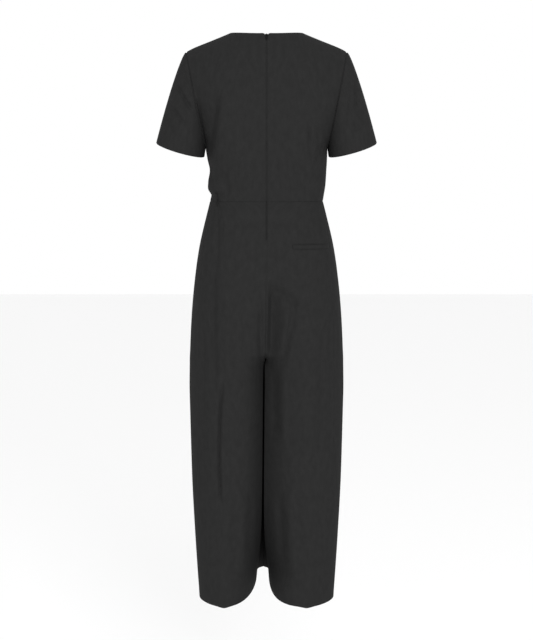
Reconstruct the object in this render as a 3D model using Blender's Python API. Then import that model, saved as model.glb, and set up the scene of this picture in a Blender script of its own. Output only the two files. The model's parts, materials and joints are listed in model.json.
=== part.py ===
"""Short-sleeved, wide-legged jumpsuit, hollow as if worn, in Blender.

Metres, +Z up. The wearer's left is +X and the back faces +Y. The origin lies
between the two side neck points, on the shoulders that hold the garment up.

Each cut piece is a grid of points on the garment's outer side, read from
horizontal sections. Pieces that meet share the thickness direction along their
seam, so that their walls are mitred and 0.3 mm apart.
"""
import math

import bmesh
import bpy
import numpy as np
from mathutils import Matrix, Vector, kdtree

MM = 0.001

# Cloth
WALL = 1.5 * MM
SEAM_GAP = 0.3 * MM
CLOTH_COLOUR = (0.028, 0.028, 0.029, 1.0)
TAPE_COLOUR = (0.018, 0.018, 0.019, 1.0)
TRIM_COLOUR = (0.010, 0.010, 0.011, 1.0)

# Lengths from the side neck point downwards
WAIST_Z = -390 * MM
CROTCH_Z = -766 * MM
HEM_Z = -1354 * MM

# Neck, cut round in plan by its half width and its depth on each side. The
# cloth over the shoulders would rise to the crown in the middle, uncut.
NECK_X = 86 * MM
NECK_DEPTH = {"back": 62 * MM, "front": 89 * MM}
NECK_CROWN = {"back": 32.5 * MM, "front": 0.0}
NECK_SHARE = 5 / 11
NOTCH_X = 8 * MM
NOTCH_REACH = 30 * MM

# Shoulder and armhole, each point as X and Z
SHOULDER_TIP = (188 * MM, -43 * MM)
SHOULDER_ROUND = 4 * MM
UNDERARM = (144 * MM, -266 * MM)
ARMHOLE_DEPTH = 58 * MM

# Sleeve hem, its outer and inner corners as X and Z
CUFF_OUTER = (261 * MM, -253 * MM)
CUFF_INNER = (147 * MM, -286 * MM)
CUFF_DEPTH = 57 * MM
CUFF_DROOP = 9 * MM
CAP_RISE = 16 * MM
SLEEVE_FULLNESS = 4 * MM

# Grid counts
BODICE_COLUMNS = 11
SIDE_ROWS = 7
ARMHOLE_LOW_ROWS = 5
ARMHOLE_HIGH_ROWS = 7
SLEEVE_ROWS = 7
TROUSER_COLUMNS = 14

# Zip. The slider's frame starts at the neck edge: down along the cloth, and
# out from it.
ZIP_ROWS = 5
TAPE_HALF = 12 * MM
TAPE_WALL = 0.8 * MM
SLIDER_HALF = 3.2 * MM
SLIDER_DOWN = (2.6 * MM, 11.6 * MM)
SLIDER_WALL = 2.2 * MM
SLIDER_ROUND = 0.6 * MM
TAPE_SLOT = 12.4 * MM
BAIL_RADIUS = 2.6 * MM
BAIL_WIRE = 0.5 * MM
TAB_DOWN = 7.1 * MM
TAB_OUT = 1.0 * MM
TAB_WALL = 1.0 * MM
TAB_HOLE = (0.5 * MM, 3.5 * MM, 1.0 * MM)

# Welt of the pocket on the right back: which cells of the panel it lies on
WELT_ROW = 5
WELT_COLUMNS = (1, 9)
WELT_WALL = 1.2 * MM


def table(names, rows):
    """Columns of a short table, in metres but for the fullnesses, by name."""
    columns = {}
    for index, name in enumerate(names.split()):
        values = np.array([row[index] for row in rows], dtype=float)
        columns[name] = values if name.endswith("full") else values * MM
    return columns


# One row for each section, top to bottom. back and front are the deepest
# points, and back_x and front_x say how far from the middle those lie. A
# fullness of 0.55 is round, less is flatter across the corner, more is boxy.
BODICE = table(
    "z left right back back_x mid_back front front_x mid_front side_full", (
        (-154.5, 166, 166, 104, 40, 103, -102, 44, -101, 0.58),
        (-210, 150, 150, 106, 46, 104, -115, 52, -113, 0.60),
        (-266, 144, 144, 102, 50, 100, -119, 56, -116, 0.62),
        (-293, 139.5, 143.3, 98, 50, 96, -115, 55, -112, 0.62),
        (-317, 134.5, 142, 94, 48, 92, -109, 53, -107, 0.62),
        (-345, 138.5, 140.5, 90, 46, 88, -102, 50, -100, 0.62),
        (-376, 133, 138, 87, 44, 85, -96, 46, -95, 0.62),
        (-390, 133.5, 136.5, 86, 44, 84, -94, 45, -93, 0.62),
    ))

# Half of the trousers. Each leg's section is round an inner point, which lies
# past the middle above the crotch, where the two halves then meet. Below it
# the legs touch at inner_y in front, and behind that stand apart by the gap
# along a wall. seam is how far the side seam lies inside the silhouette.
TROUSER = table(
    "z outer outer_y back back_x front front_x inner inner_y gap wall seam "
    "under_full belly_full side_full", (
        (-390, 134, 0, 86, 44, -94, 45, -700, -10, 0, 0, 0, 0.55, 0.55, 0.62),
        (-423, 142.5, 0, 94, 50, -98, 50, -620, -10, 0, 0, 6, 0.55, 0.55, 0.61),
        (-495, 159.5, 2, 107, 60, -104, 58, -480, -10, 0, 0, 12, 0.55, 0.55, 0.60),
        (-580, 172, 4, 115, 70, -108, 66, -280, -10, 0, 0, 18, 0.55, 0.55, 0.58),
        (-640, 178, 5, 115, 76, -110, 71, -140, -10, 0, 0, 21, 0.53, 0.55, 0.57),
        (-700, 182, 6, 112, 81, -111, 75, -72, -10, 0, 0, 23, 0.52, 0.55, 0.56),
        (-745, 184, 7, 110, 85, -112, 78, -24, -10, 0, 0, 25, 0.52, 0.58, 0.55),
        (-766, 185, 8, 109, 86, -112, 80, 0, -12, 0, 0, 25, 0.52, 0.60, 0.55),
        (-830, 186, 9, 107, 90, -114, 82, 0, -40, 4.5, 54, 26, 0.60, 0.60, 0.55),
        (-890, 185, 10, 105, 92, -116, 83, 0, -50, 3, 72, 25, 0.62, 0.62, 0.55),
        (-960, 183.5, 12, 104, 94, -118, 84, 0, -58, 2, 88, 24, 0.62, 0.64, 0.55),
        (-1070, 180.5, 16, 103, 97, -120, 84, 0, -76, 2, 106, 12, 0.62, 0.70, 0.53),
        (-1200, 174, 22, 104, 98, -123, 85, 0, -98, 6, 96, 3, 0.58, 0.78, 0.48),
        (-1354, 164.5, 30, 106, 98, -126, 86, 0, -118, 17, 58, 0, 0.49, 0.84, 0.44),
    ))

TROUSER_HEIGHTS = (
    -390, -405, -423, -446, -470, -487, -499, -526, -556, -588, -620, -652, -682, -708,
    -730, -747, -759, -766, -774, -788, -812, -848, -892, -940, -992, -1046, -1102,
    -1158, -1212, -1262, -1308, -1354)

# How far the parting between the legs lies off the middle, and how it slants,
# so that one leg closes the view past the other. The right leg's inner corner
# is fuller by this much at the hem.
RIGHT_HEM_FULLER = 0.16
LEG_PARTING = 7 * MM
PARTING_SLANT = 0.12
CONTACT = 12 * MM
INSEAM_FORWARD = 60 * MM
FRONT_HEM_LIFT = 28 * MM

# Folds die out this near the waist seam, where the pieces are held flat.
FLAT_BY_WAIST = 22 * MM

# Largest folds, in millimetres. A row runs from one point to another in the X
# and Z of the panel it lies on, with its half width and how far it rises.
FOLDS = (
    ("back", (132, -125), (124, -300), 11, -9),
    ("back", (113, -165), (120, -290), 8, 4),
    ("back", (104, -430), (110, -560), 9, -4),
    ("back", (116, -585), (116, -750), 13, -5),
    ("back", (96, -790), (110, -1130), 10, 4),
    ("back", (-20, -600), (-62, -640), 14, -4),
    ("back", (-62, -640), (-44, -740), 12, -5),
    ("front", (118, -388), (40, -300), 10, 6),
    ("front", (118, -376), (70, -270), 9, 6),
    ("front", (116, -384), (0, -345), 9, 5),
    ("front", (118, -405), (60, -520), 10, 5),
    ("front", (112, -402), (10, -450), 10, 4),
)


def read(columns, name, height):
    """A column's value at a height, along a smooth curve through its rows."""
    knots = columns["z"][::-1]
    values = columns[name][::-1]
    slopes = np.gradient(values, knots)
    low = int(np.clip(np.searchsorted(knots, height) - 1, 0, len(knots) - 2))
    span = knots[low + 1] - knots[low]
    t = min(max((height - knots[low]) / span, 0.0), 1.0)
    rise = values[low + 1] - values[low]
    a = slopes[low] * span - rise
    b = rise - slopes[low + 1] * span
    return values[low] + t * rise + t * (1 - t) * (a * (1 - t) + b * t)


def unit(vectors):
    """Vectors at length 1, or 0 where they have none."""
    size = np.linalg.norm(vectors, axis=-1, keepdims=True)
    return vectors / np.maximum(size, 1e-12)


def ramp(value):
    """0 to 1 with level ends, for a value that goes from 0 to 1."""
    t = min(max(value, 0.0), 1.0)
    return t * t * (3 - 2 * t)


def arc(start, start_arm, end_arm, end, steps=60):
    """Cubic curve in plan from start to end, with an arm at each of them."""
    t = np.linspace(0, 1, steps)[:, None]
    a, d = np.array(start, dtype=float), np.array(end, dtype=float)
    b, c = a + np.array(start_arm), d + np.array(end_arm)
    return a * (1 - t) ** 3 + 3 * b * t * (1 - t) ** 2 + 3 * c * t * t * (1 - t) + d * t ** 3


def corner(flat, upright, full):
    """Quarter of a section, from its deepest point to its side or inner one."""
    across, deep = upright[0] - flat[0], flat[1] - upright[1]
    return arc(flat, (across * full, 0), (0, deep * full), upright)


def cut_at_x(path, x):
    """The part of a path before it crosses an X, ended on it."""
    past = np.nonzero(path[:, 0] < x)[0]
    if len(past) == 0:
        return path
    after = past[0]
    t = (x - path[after - 1, 0]) / (path[after, 0] - path[after - 1, 0])
    return np.vstack([path[:after], [path[after - 1] * (1 - t) + path[after] * t]])


def resample(path, count, gaps=(0.0, 0.0), kept=0.0):
    """Evenly spaced points along a path, short of its ends by the gaps.

    The points nearest to a kept distance along it move to the two ends of the
    stretch of contact that starts there.
    """
    steps = np.linalg.norm(np.diff(path, axis=0), axis=1)
    along = np.concatenate([[0.0], np.cumsum(steps)])
    wanted = np.linspace(gaps[0], along[-1] - gaps[1], count + 1)
    nearest = int(np.argmin(np.abs(wanted - kept)))
    if 0 < nearest < count - 1:
        wanted[nearest] = kept
        wanted[nearest + 1] = min(kept + CONTACT, (kept + wanted[nearest + 2]) / 2)
    return np.stack([np.interp(wanted, along, path[:, k]) for k in range(2)], axis=1)


# ---------------------------------------------------------------- bodice

def armhole_angles():
    """Angles of the armhole's points, from pi at the underarm to 0 on top."""
    low = np.linspace(math.pi, math.pi / 2, ARMHOLE_LOW_ROWS + 1)
    high = np.linspace(math.pi / 2, 0, ARMHOLE_HIGH_ROWS + 1)
    return np.concatenate([low, high[1:]])


def between(ends, turn):
    """X and Z between two such points, at 1 on the first and -1 on the second."""
    first, second = np.array(ends[0]), np.array(ends[1])
    return (first + second) / 2 + (first - second) / 2 * turn


def armhole_point(angle):
    """Point of the left armhole, at the back for angles under pi."""
    x, z = between((SHOULDER_TIP, UNDERARM), math.cos(angle))
    return np.array([x, ARMHOLE_DEPTH * math.sin(angle), z])


def cuff_point(angle):
    """Point of the left sleeve's hem, which droops a little at the back."""
    x, z = between((CUFF_OUTER, CUFF_INNER), math.cos(angle))
    return np.array([x, CUFF_DEPTH * math.sin(angle), z - CUFF_DROOP * math.sin(angle)])


def bodice_section(height, facing, edge, lean):
    """Section of half a bodice from the middle out to its edge, in plan.

    lean is the section's direction at its edge, 0 for straight forward and 1
    for halfway outward.
    """
    face = "back" if facing > 0 else "front"
    full = read(BODICE, "side_full", height)
    deep = (read(BODICE, face + "_x", height), facing * read(BODICE, face, height))
    middle = (0.0, facing * read(BODICE, "mid_" + face, height))
    end = (edge[0], facing * edge[1])
    drop = (deep[1] - end[1]) * full
    outer = arc(deep, ((end[0] - deep[0]) * full, 0), (-drop * lean, drop), end)
    half = deep[0] / 2
    inner = arc(middle, (half, 0), (-half, 0), deep, 20)
    points = resample(np.vstack([inner, outer[1:]]), BODICE_COLUMNS)
    points[:, 1] *= facing
    return points


def crest(share, face):
    """X and Z of the line over the shoulder, carried on inwards past the neck."""
    if share < NECK_SHARE:
        inner = share / NECK_SHARE
        return NECK_X * inner, NECK_CROWN[face] * (1 - inner ** 1.5)
    t = (share - NECK_SHARE) / (1 - NECK_SHARE)
    return (NECK_X + (SHOULDER_TIP[0] - NECK_X) * t,
            SHOULDER_TIP[1] * t + SHOULDER_ROUND * (t ** 2 - t ** 8))


def neck_cut(low, top, share, face):
    """Angle at which a column's quarter ellipse over the shoulder ends."""
    if share >= NECK_SHARE:
        return math.pi / 2
    lower, upper = 0.0, math.pi / 2
    for _ in range(30):
        angle = (lower + upper) / 2
        x = low[0] + (top[0] - low[0]) * math.sin(angle)
        y = low[1] * math.cos(angle)
        outside = math.hypot(x / NECK_X, y / NECK_DEPTH[face]) > 1
        lower, upper = (angle, upper) if outside else (lower, angle)
    return lower


def over_shoulder(low, share, face):
    """Column from the shoulder blade row to the neck edge or shoulder seam."""
    top = crest(share, face)
    rises = np.linspace(0, 1, ARMHOLE_HIGH_ROWS + 1)[1:]
    angles = rises * neck_cut(low, top, share, face)
    up, back = np.sin(angles), np.cos(angles)
    return np.stack([low[0] + (top[0] - low[0]) * up, low[1] * back,
                     low[2] + (top[1] - low[2]) * up], axis=1)


def bodice_half(facing, side):
    """Grid of half a bodice, rows from waist to top and columns from the middle."""
    rows = []
    blade_z = float(BODICE["z"][0])
    edge_name = "left" if side > 0 else "right"
    shares = np.linspace(0, 1, BODICE_COLUMNS + 1)
    for height in np.linspace(WAIST_Z, UNDERARM[1], SIDE_ROWS, endpoint=False):
        edge = (read(BODICE, edge_name, height), 0.0)
        lift = SEAM_GAP / 2 if height == WAIST_Z else 0.0
        rows.append([(x, y, height + lift) for x, y in bodice_section(height, facing, edge, 0)])
    for k, angle in enumerate(armhole_angles()[:ARMHOLE_LOW_ROWS + 1]):
        t = k / ARMHOLE_LOW_ROWS
        height = UNDERARM[1] + (blade_z - UNDERARM[1]) * t
        edge = armhole_point(angle)
        section = bodice_section(height, facing, (edge[0], facing * edge[1]), 0.9 * t)
        rows.append([(x, y, height + (edge[2] - height) * s * s)
                     for (x, y), s in zip(section, shares)])
    face = "back" if facing > 0 else "front"
    lower = np.array(rows)
    upper = np.stack([over_shoulder(low, share, face)
                      for low, share in zip(lower[-1], shares)], axis=1)
    grid = np.concatenate([lower, upper])
    if facing > 0:
        grid[-1, :, 0] += NOTCH_X * np.clip(1 - grid[-1, :, 0] / NOTCH_REACH, 0, 1) ** 2
        grid[:-1, 0, 0] = SEAM_GAP / 2
    grid[..., 0] *= side
    return grid


def sleeve_grid(side):
    """Grid of a sleeve, rows from the armhole to the hem, columns round it."""
    back = armhole_angles()
    angles = np.concatenate([back, 2 * math.pi - back[-2::-1]])
    run = np.array(CUFF_OUTER) - np.array(SHOULDER_TIP)
    outward = unit(np.array([-run[1], 0.0, run[0]]))
    rows = []
    for s in np.linspace(0, 1, SLEEVE_ROWS + 1):
        row = []
        for angle in angles:
            start, end = armhole_point(angle), cuff_point(angle)
            cap = CAP_RISE * s ** 0.45 * (1 - s) * max(math.cos(angle), 0.0)
            full = SLEEVE_FULLNESS * math.sin(math.pi * s) * math.sin(angle)
            row.append(start + (end - start) * s + outward * cap + np.array([0, full, 0]))
        rows.append(row)
    grid = np.array(rows)
    grid[..., 0] *= side
    return grid


# -------------------------------------------------------------- trousers

def trouser_plan(height, half):
    """Back and front of one half in plan, from the side seam inwards."""
    def at(name):
        return read(TROUSER, name, height)

    outer = (at("outer"), at("outer_y"))
    back, front = (at("back_x"), at("back")), (at("front_x"), at("front"))
    side = corner(back, outer, at("side_full"))[::-1]
    fore = corner(front, outer, at("side_full"))[::-1]
    seam = int(np.argmin(np.abs(side[:, 0] - (outer[0] - at("seam")))))
    inner = (min(at("inner"), SEAM_GAP / 2), at("inner_y"))
    gap, wall = max(at("gap"), 0.0), max(at("wall"), 0.0)
    open_point = (inner[0] + gap, inner[1] + wall)
    contact = min(CONTACT, wall / 2)
    fuller = RIGHT_HEM_FULLER * ramp((HEM_Z + 200 * MM - height) / (200 * MM)) * (half < 0)
    under = cut_at_x(corner(back, open_point, at("under_full") + fuller), SEAM_GAP / 2)
    belly = cut_at_x(corner(front, inner, at("belly_full")), SEAM_GAP / 2)
    back_path = np.vstack([side[seam:], under[1:]])
    front_path = np.vstack([side[:seam + 1][::-1], fore[1:], belly[1:]])
    if height >= CROTCH_Z:
        return back_path, front_path, 0.0
    closing = arc(open_point, (0, -wall * 0.7), (gap * 0.85, contact / 3),
                  (inner[0], inner[1] + contact), 24)
    back_path = np.vstack([back_path, closing[1:], [inner]])
    touch = path_length(front_path)
    crotch_y = float(read(TROUSER, "inner_y", CROTCH_Z))
    forward = INSEAM_FORWARD * (CROTCH_Z - height) / (CROTCH_Z - HEM_Z)
    back_path, front_path = move_inseam(back_path, front_path, crotch_y - forward)
    return back_path, front_path, touch


def path_length(path):
    """Length of a path."""
    return float(np.sum(np.linalg.norm(np.diff(path, axis=0), axis=1)))


def move_inseam(back, front, depth):
    """Hand the part of the back that lies past the inseam to the front."""
    past = np.nonzero((back[:, 1] < depth) & (back[:, 0] < 60 * MM))[0]
    if len(past) == 0:
        return back, front
    cut = past[0]
    t = (depth - back[cut - 1, 1]) / (back[cut, 1] - back[cut - 1, 1])
    seam = back[cut - 1] * (1 - t) + back[cut] * t
    return np.vstack([back[:cut], [seam]]), np.vstack([front, back[cut:-1][::-1], [seam]])


def settle(x, y, z, side):
    """Mirror a point to its side, part the legs and lift the front hem."""
    legs = ramp((CROTCH_Z + 120 * MM - z) / (120 * MM))
    fade = max(1 - x / (165 * MM), 0.0)
    slant = np.clip(PARTING_SLANT * (y - read(TROUSER, "inner_y", z)), -4 * MM, 4 * MM)
    slant *= fade ** 3 * ramp((CROTCH_Z - z) / (12 * MM))
    low = ramp((HEM_Z + 150 * MM - z) / (150 * MM))
    forward = min(max((106 * MM - y) / (220 * MM), 0.0), 1.0)
    lift = FRONT_HEM_LIFT * low * forward ** 1.3 * (1 - x / (200 * MM))
    return (side * x + LEG_PARTING * legs * fade + slant, y, z + lift)


def trouser_grids(side):
    """Back and front grids of half the trousers, rows from waist to hem."""
    grids = ([], [])
    for height in TROUSER_HEIGHTS:
        z = height * MM
        inseam_gap = SEAM_GAP / 2 if z < CROTCH_Z else 0.0
        drop = SEAM_GAP / 2 if z == WAIST_Z else 0.0
        back, front, touch = trouser_plan(z, side)
        for path, kept, rows in ((back, 0.0, grids[0]), (front, touch, grids[1])):
            points = resample(path, TROUSER_COLUMNS, (SEAM_GAP / 2, inseam_gap), kept)
            rows.append([settle(x, y, z - drop, side) for x, y in points])
    return np.array(grids[0]), np.array(grids[1])


# ------------------------------------------------------ sewing the pieces

def outward_normals(grid, axis):
    """Outward unit normals of a grid's points, away from an axis line."""
    normals = unit(np.cross(np.gradient(grid, axis=1), np.gradient(grid, axis=0)))
    return normals if np.sum(normals * (grid - axis(grid))) > 0 else -normals


def torso_axis(grid):
    """Points on the upright axis of half a body, at each point's height."""
    middle = np.zeros_like(grid)
    middle[..., 0] = 0.5 * np.mean(grid[..., 0])
    middle[..., 2] = grid[..., 2]
    return middle


def sleeve_axis(grid):
    """Points on the axis of a sleeve, one for each row."""
    return np.repeat(grid.mean(axis=1, keepdims=True), grid.shape[1], axis=1)


def share_normals(grids, normals, reach=0.8 * MM):
    """Give points that meet on a seam one common thickness direction."""
    rim = [(name, r, c) for name, grid in grids.items() for r, c in np.ndindex(grid.shape[:2])
           if r in (0, grid.shape[0] - 1) or c in (0, grid.shape[1] - 1)]
    tree = kdtree.KDTree(len(rim))
    for index, (name, r, c) in enumerate(rim):
        tree.insert(Vector(grids[name][r, c]), index)
    tree.balance()
    shared = {}
    for name, r, c in rim:
        own = normals[name][r, c]
        total = own.copy()
        for _, index, _ in tree.find_range(Vector(grids[name][r, c]), reach):
            other_name, other_r, other_c = rim[index]
            if other_name != name:
                other = normals[other_name][other_r, other_c]
                total += other * min(max((float(own @ other) + 0.3) / 0.6, 0.0), 1.0)
        shared[name, r, c] = unit(total)
    for (name, r, c), normal in shared.items():
        normals[name][r, c] = normal


def fold_rise(point, normal):
    """How far the folds lift or sink a point of the cloth."""
    rise = 0.0
    for face, start, end, half_width, height in FOLDS:
        if (face == "back") != (normal[1] > 0):
            continue
        first = np.array(start) * MM
        along = np.array(end) * MM - first
        place = np.array([point[0], point[2]]) - first
        t = float(place @ along / (along @ along))
        gap = np.linalg.norm(place - along * min(max(t, 0.0), 1.0))
        taper = max(1 - max(abs(t - 0.5) - 0.3, 0.0) / 0.35, 0.0)
        rise += height * MM * taper * math.exp(-(gap / (half_width * MM)) ** 2)
    return rise * min(abs(point[2] - WAIST_Z) / FLAT_BY_WAIST, 1.0)


def fold_cloth(grid, normals):
    """Lift a piece's points by the folds that cross them."""
    for place in np.ndindex(grid.shape[:2]):
        grid[place] += normals[place] * fold_rise(grid[place], normals[place])


def draw_back(edge, beyond):
    """Draw the points of an edge back from its seam by half the gap."""
    edge += unit(beyond - edge) * SEAM_GAP / 2


def sewn_pieces():
    """Grids and normals of every cut piece, by name, with their seam gaps."""
    grids = {}
    for side, word in ((1, "left"), (-1, "right")):
        grids["back_bodice_" + word] = bodice_half(1, side)
        grids["sleeve_" + word] = sleeve_grid(side)
        grids["trouser_back_" + word], grids["trouser_front_" + word] = trouser_grids(side)
    left, right = bodice_half(-1, 1), bodice_half(-1, -1)
    grids["front_bodice"] = np.concatenate([right[:, ::-1], left[:, 1:]], axis=1)
    normals = {}
    for name, grid in grids.items():
        axis = sleeve_axis if name.startswith("sleeve") else torso_axis
        normals[name] = outward_normals(grid, axis)
    shoulder = round(NECK_SHARE * BODICE_COLUMNS)
    for word in ("left", "right"):
        back, sleeve = grids["back_bodice_" + word], grids["sleeve_" + word]
        draw_back(back[:, -1], back[:, -2])
        draw_back(back[-1, shoulder:], back[-2, shoulder:])
        draw_back(sleeve[0], sleeve[1])
        draw_back(sleeve[:, 0], sleeve[:, 1])
        draw_back(sleeve[:, -1], sleeve[:, -2])
    front = grids["front_bodice"]
    right_end, left_end = BODICE_COLUMNS - shoulder + 1, BODICE_COLUMNS + shoulder
    draw_back(front[:, 0], front[:, 1])
    draw_back(front[:, -1], front[:, -2])
    draw_back(front[-1, :right_end], front[-2, :right_end])
    draw_back(front[-1, left_end:], front[-2, left_end:])
    share_normals(grids, normals)
    for name, grid in grids.items():
        if not name.startswith("sleeve"):
            fold_cloth(grid, normals[name])
    return grids, normals


# ---------------------------------------------------------------- solids

def material(name, colour, roughness, metallic=0.0):
    """Principled material of one plain finish."""
    made = bpy.data.materials.get(name) or bpy.data.materials.new(name)
    made.use_nodes = True
    shader = made.node_tree.nodes["Principled BSDF"]
    shader.inputs["Base Color"].default_value = colour
    shader.inputs["Roughness"].default_value = roughness
    shader.inputs["Metallic"].default_value = metallic
    return made


def add_object(name, mesh, finish, collection):
    """Name a mesh as an object of the garment and give it its finish."""
    made = bpy.data.objects.new(name, mesh)
    mesh.materials.append(finish)
    collection.objects.link(made)
    return made


def wall_mesh(name, outer, inner, left_out=()):
    """Closed wall between two grids of points, without the cells left out."""
    rows, columns = outer.shape[:2]
    build = bmesh.new()
    bmesh.ops.create_grid(build, x_segments=columns - 1, y_segments=rows - 1, size=1.0)
    place = build.verts.layers.int.new("place")
    for vert in build.verts:
        column = round((vert.co.x + 1) / 2 * (columns - 1))
        row = round((vert.co.y + 1) / 2 * (rows - 1))
        vert[place] = row * columns + column
    gone = [face for face in build.faces
            if divmod(min(vert[place] for vert in face.verts), columns) in left_out]
    bmesh.ops.delete(build, geom=gone, context="FACES")
    raised = bmesh.ops.extrude_face_region(build, geom=build.faces[:])
    inside = {item for item in raised["geom"] if isinstance(item, bmesh.types.BMVert)}
    for vert in build.verts:
        points = inner if vert in inside else outer
        vert.co = Vector(points[divmod(vert[place], columns)])
    bmesh.ops.triangulate(build, faces=build.faces[:])
    bmesh.ops.recalc_face_normals(build, faces=build.faces[:])
    mesh = bpy.data.meshes.new(name)
    build.to_mesh(mesh)
    build.free()
    mesh.shade_smooth()
    return mesh


def pocket_welt(grids, normals):
    """Wall of the welt, from the panel's own points, moved out."""
    rows = slice(WELT_ROW, WELT_ROW + 2)
    columns = slice(WELT_COLUMNS[0], WELT_COLUMNS[1] + 1)
    on = grids["trouser_back_right"][rows, columns]
    out = normals["trouser_back_right"][rows, columns]
    return wall_mesh("pocket_welt", on + out * (SEAM_GAP + WELT_WALL), on + out * SEAM_GAP)


def tape_line(grids, normals, piece, row, centre, beside, depth):
    """Tape's points across one row of the back, at a depth under the outside."""
    line = []
    for word, sign in (("right", -1), ("left", 1)):
        grid, normal = grids[piece + word][row], normals[piece + word][row]
        seam = grid[centre] - normal[centre] * depth
        next_in = grid[beside] - normal[beside] * depth
        for x in (TAPE_HALF, SLIDER_HALF + 0.4 * MM):
            t = (sign * x - seam[0]) / (next_in[0] - seam[0])
            line.append(seam + (next_in - seam) * t)
    return [line[0], line[1], line[3], line[2]]


def zip_tape(grids, normals, slot_share):
    """Closed zip behind the centre back seam, open on top for its slider."""
    walls = []
    for depth in (WALL + SEAM_GAP, WALL + SEAM_GAP + TAPE_WALL):
        lines = [tape_line(grids, normals, "trouser_back_", row, -1, -2, depth)
                 for row in range(ZIP_ROWS, 0, -1)]
        lines += [tape_line(grids, normals, "back_bodice_", row, 0, 1, depth)
                  for row in range(grids["back_bodice_left"].shape[0])]
        slot = np.array(lines[-1]) * (1 - slot_share) + np.array(lines[-2]) * slot_share
        walls.append(np.array(lines[:-1] + [slot] + lines[-1:]))
    return wall_mesh("zip_tape", walls[0], walls[1], left_out={(len(walls[0]) - 2, 1)})


def slider_frame(grids):
    """Matrix of the slider's frame: X across, Y down the cloth, Z out from it."""
    back = grids["back_bodice_left"]
    top = back[-1, 0] + (back[-1, 0] - back[-1, 1]) * back[-1, 0, 0] / (
        back[-1, 1, 0] - back[-1, 0, 0])
    down = Vector(back[-2, 0] - top)
    down.x = 0.0
    length = down.length
    down.normalize()
    across = Vector((1.0, 0.0, 0.0))
    out = across.cross(down)
    turn = Matrix((across, down, out)).transposed().to_4x4()
    return Matrix.Translation((0.0, top[1], top[2])) @ turn, length


def rounded_box(low, high, width):
    """Box between two corners with its edges rounded, as a bmesh."""
    build = bmesh.new()
    bmesh.ops.create_cube(build, size=1.0)
    size = Vector(high) - Vector(low)
    bmesh.ops.scale(build, vec=size, verts=build.verts)
    bmesh.ops.translate(build, vec=(Vector(high) + Vector(low)) / 2, verts=build.verts)
    bmesh.ops.bevel(build, geom=build.edges[:], offset=width, segments=2, profile=0.5,
                    affect="EDGES", material=-1)
    return build


def slider_object(frame, finish, collection):
    """Slider body on the inside, with the bail that stands out of the notch."""
    face = -(WALL + SEAM_GAP)
    build = rounded_box((-SLIDER_HALF, SLIDER_DOWN[0], face - SLIDER_WALL),
                        (SLIDER_HALF, SLIDER_DOWN[1], face), SLIDER_ROUND)
    mesh = bpy.data.meshes.new("zip_slider")
    build.to_mesh(mesh)
    build.free()
    body = add_object("zip_slider", mesh, finish, collection)
    body.matrix_world = frame

    path = bpy.data.curves.new("bail_path", "CURVE")
    path.dimensions = "3D"
    path.bevel_depth = BAIL_WIRE
    path.bevel_resolution = 2
    path.use_fill_caps = True
    turns = [math.pi * k / 8 for k in range(9)]
    points = [(0, TAB_DOWN + BAIL_RADIUS * math.cos(t), TAB_OUT + BAIL_RADIUS * math.sin(t))
              for t in turns]
    foot = face - SLIDER_WALL / 2
    points = [(0, points[0][1], foot)] + points + [(0, points[-1][1], foot)]
    spline = path.splines.new("POLY")
    spline.points.add(len(points) - 1)
    for point, place in zip(spline.points, points):
        point.co = (*place, 1.0)
    wire = bpy.data.objects.new("bail_path", path)
    collection.objects.link(wire)
    solid = bpy.data.meshes.new_from_object(
        wire.evaluated_get(bpy.context.evaluated_depsgraph_get()))
    bpy.data.objects.remove(wire)
    build = bmesh.new()
    build.from_mesh(solid)
    bmesh.ops.remove_doubles(build, verts=build.verts, dist=0.01 * MM)
    bmesh.ops.recalc_face_normals(build, faces=build.faces)
    build.to_mesh(solid)
    build.free()
    bail = bpy.data.objects.new("bail", solid)
    bail.matrix_world = frame
    bail.hide_render = True
    bail.display_type = "WIRE"
    collection.objects.link(bail)
    union = body.modifiers.new("bail", "BOOLEAN")
    union.operation = "UNION"
    union.object = bail
    return body


def tab_object(frame, finish, collection):
    """Pull tab, hung by the bar above its hole and lying on the cloth."""
    outline = ((0.0, -0.5), (1.6, -0.5), (2.2, 0.2), (2.4, 3.0), (2.7, 5.5), (2.5, 8.0),
               (1.9, 10.5), (1.2, 12.2), (0.5, 12.9))
    right = [(x * MM, y * MM) for x, y in outline[1:]]
    left = [(-x, y) for x, y in reversed(right)]
    hole_top, hole_end, hole_half = TAB_HOLE
    hole = [(hole_half, hole_top), (hole_half, hole_end), (-hole_half, hole_end),
            (-hole_half, hole_top)]
    shape = bpy.data.curves.new("tab_outline", "CURVE")
    shape.dimensions = "2D"
    shape.fill_mode = "BOTH"
    shape.extrude = TAB_WALL / 2
    for loop in (right + left, hole):
        spline = shape.splines.new("POLY")
        spline.points.add(len(loop) - 1)
        spline.use_cyclic_u = True
        for point, (x, y) in zip(spline.points, loop):
            point.co = (x, y, 0.0, 1.0)
    flat = bpy.data.objects.new("tab_outline", shape)
    collection.objects.link(flat)
    solid = bpy.data.meshes.new_from_object(
        flat.evaluated_get(bpy.context.evaluated_depsgraph_get()))
    bpy.data.objects.remove(flat)
    build = bmesh.new()
    build.from_mesh(solid)
    bmesh.ops.remove_doubles(build, verts=build.verts, dist=0.01 * MM)
    bmesh.ops.recalc_face_normals(build, faces=build.faces)
    build.to_mesh(solid)
    build.free()
    hinge = bpy.data.objects.new("tab_hinge", None)
    hinge.matrix_world = frame @ Matrix.Translation((0.0, TAB_DOWN, TAB_OUT))
    collection.objects.link(hinge)
    tab = add_object("zip_pull_tab", solid, finish, collection)
    tab.parent = hinge
    return tab


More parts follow.
